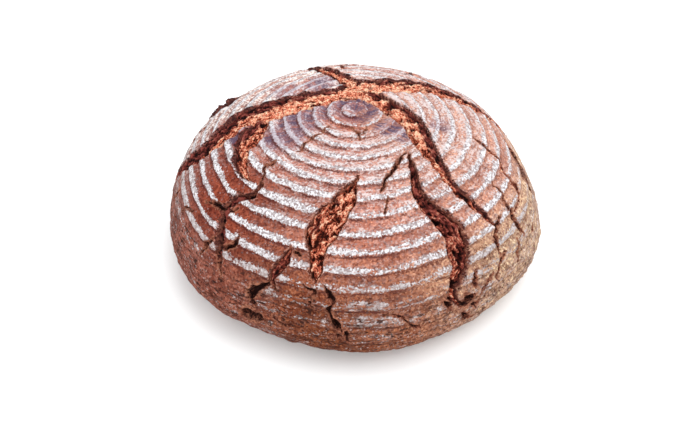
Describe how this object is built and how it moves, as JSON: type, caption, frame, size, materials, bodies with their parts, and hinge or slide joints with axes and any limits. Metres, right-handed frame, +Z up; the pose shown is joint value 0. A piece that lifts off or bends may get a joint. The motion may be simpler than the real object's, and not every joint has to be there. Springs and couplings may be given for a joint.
{
  "type": "rye bread loaf",
  "caption": "Round, domed rye loaf with concentric basket ridges and a crust split open along several long tears; rests on its flat base.",
  "frame": {"origin": "centre of the loaf's bounding box in plan, on the surface that the flat base rests on", "axes": "+Z up through the crown, -Y towards the front, where the long tears run down from the crown, +X to the right seen from the front"},
  "size_m": [0.2196, 0.2208, 0.0847],
  "materials": {
    "crust": "matt floured rye crust, red-brown with pale flour on the ridges"
  },
  "bodies": {
    "root": {"loaf": "crust"}
  },
  "joints": []
}
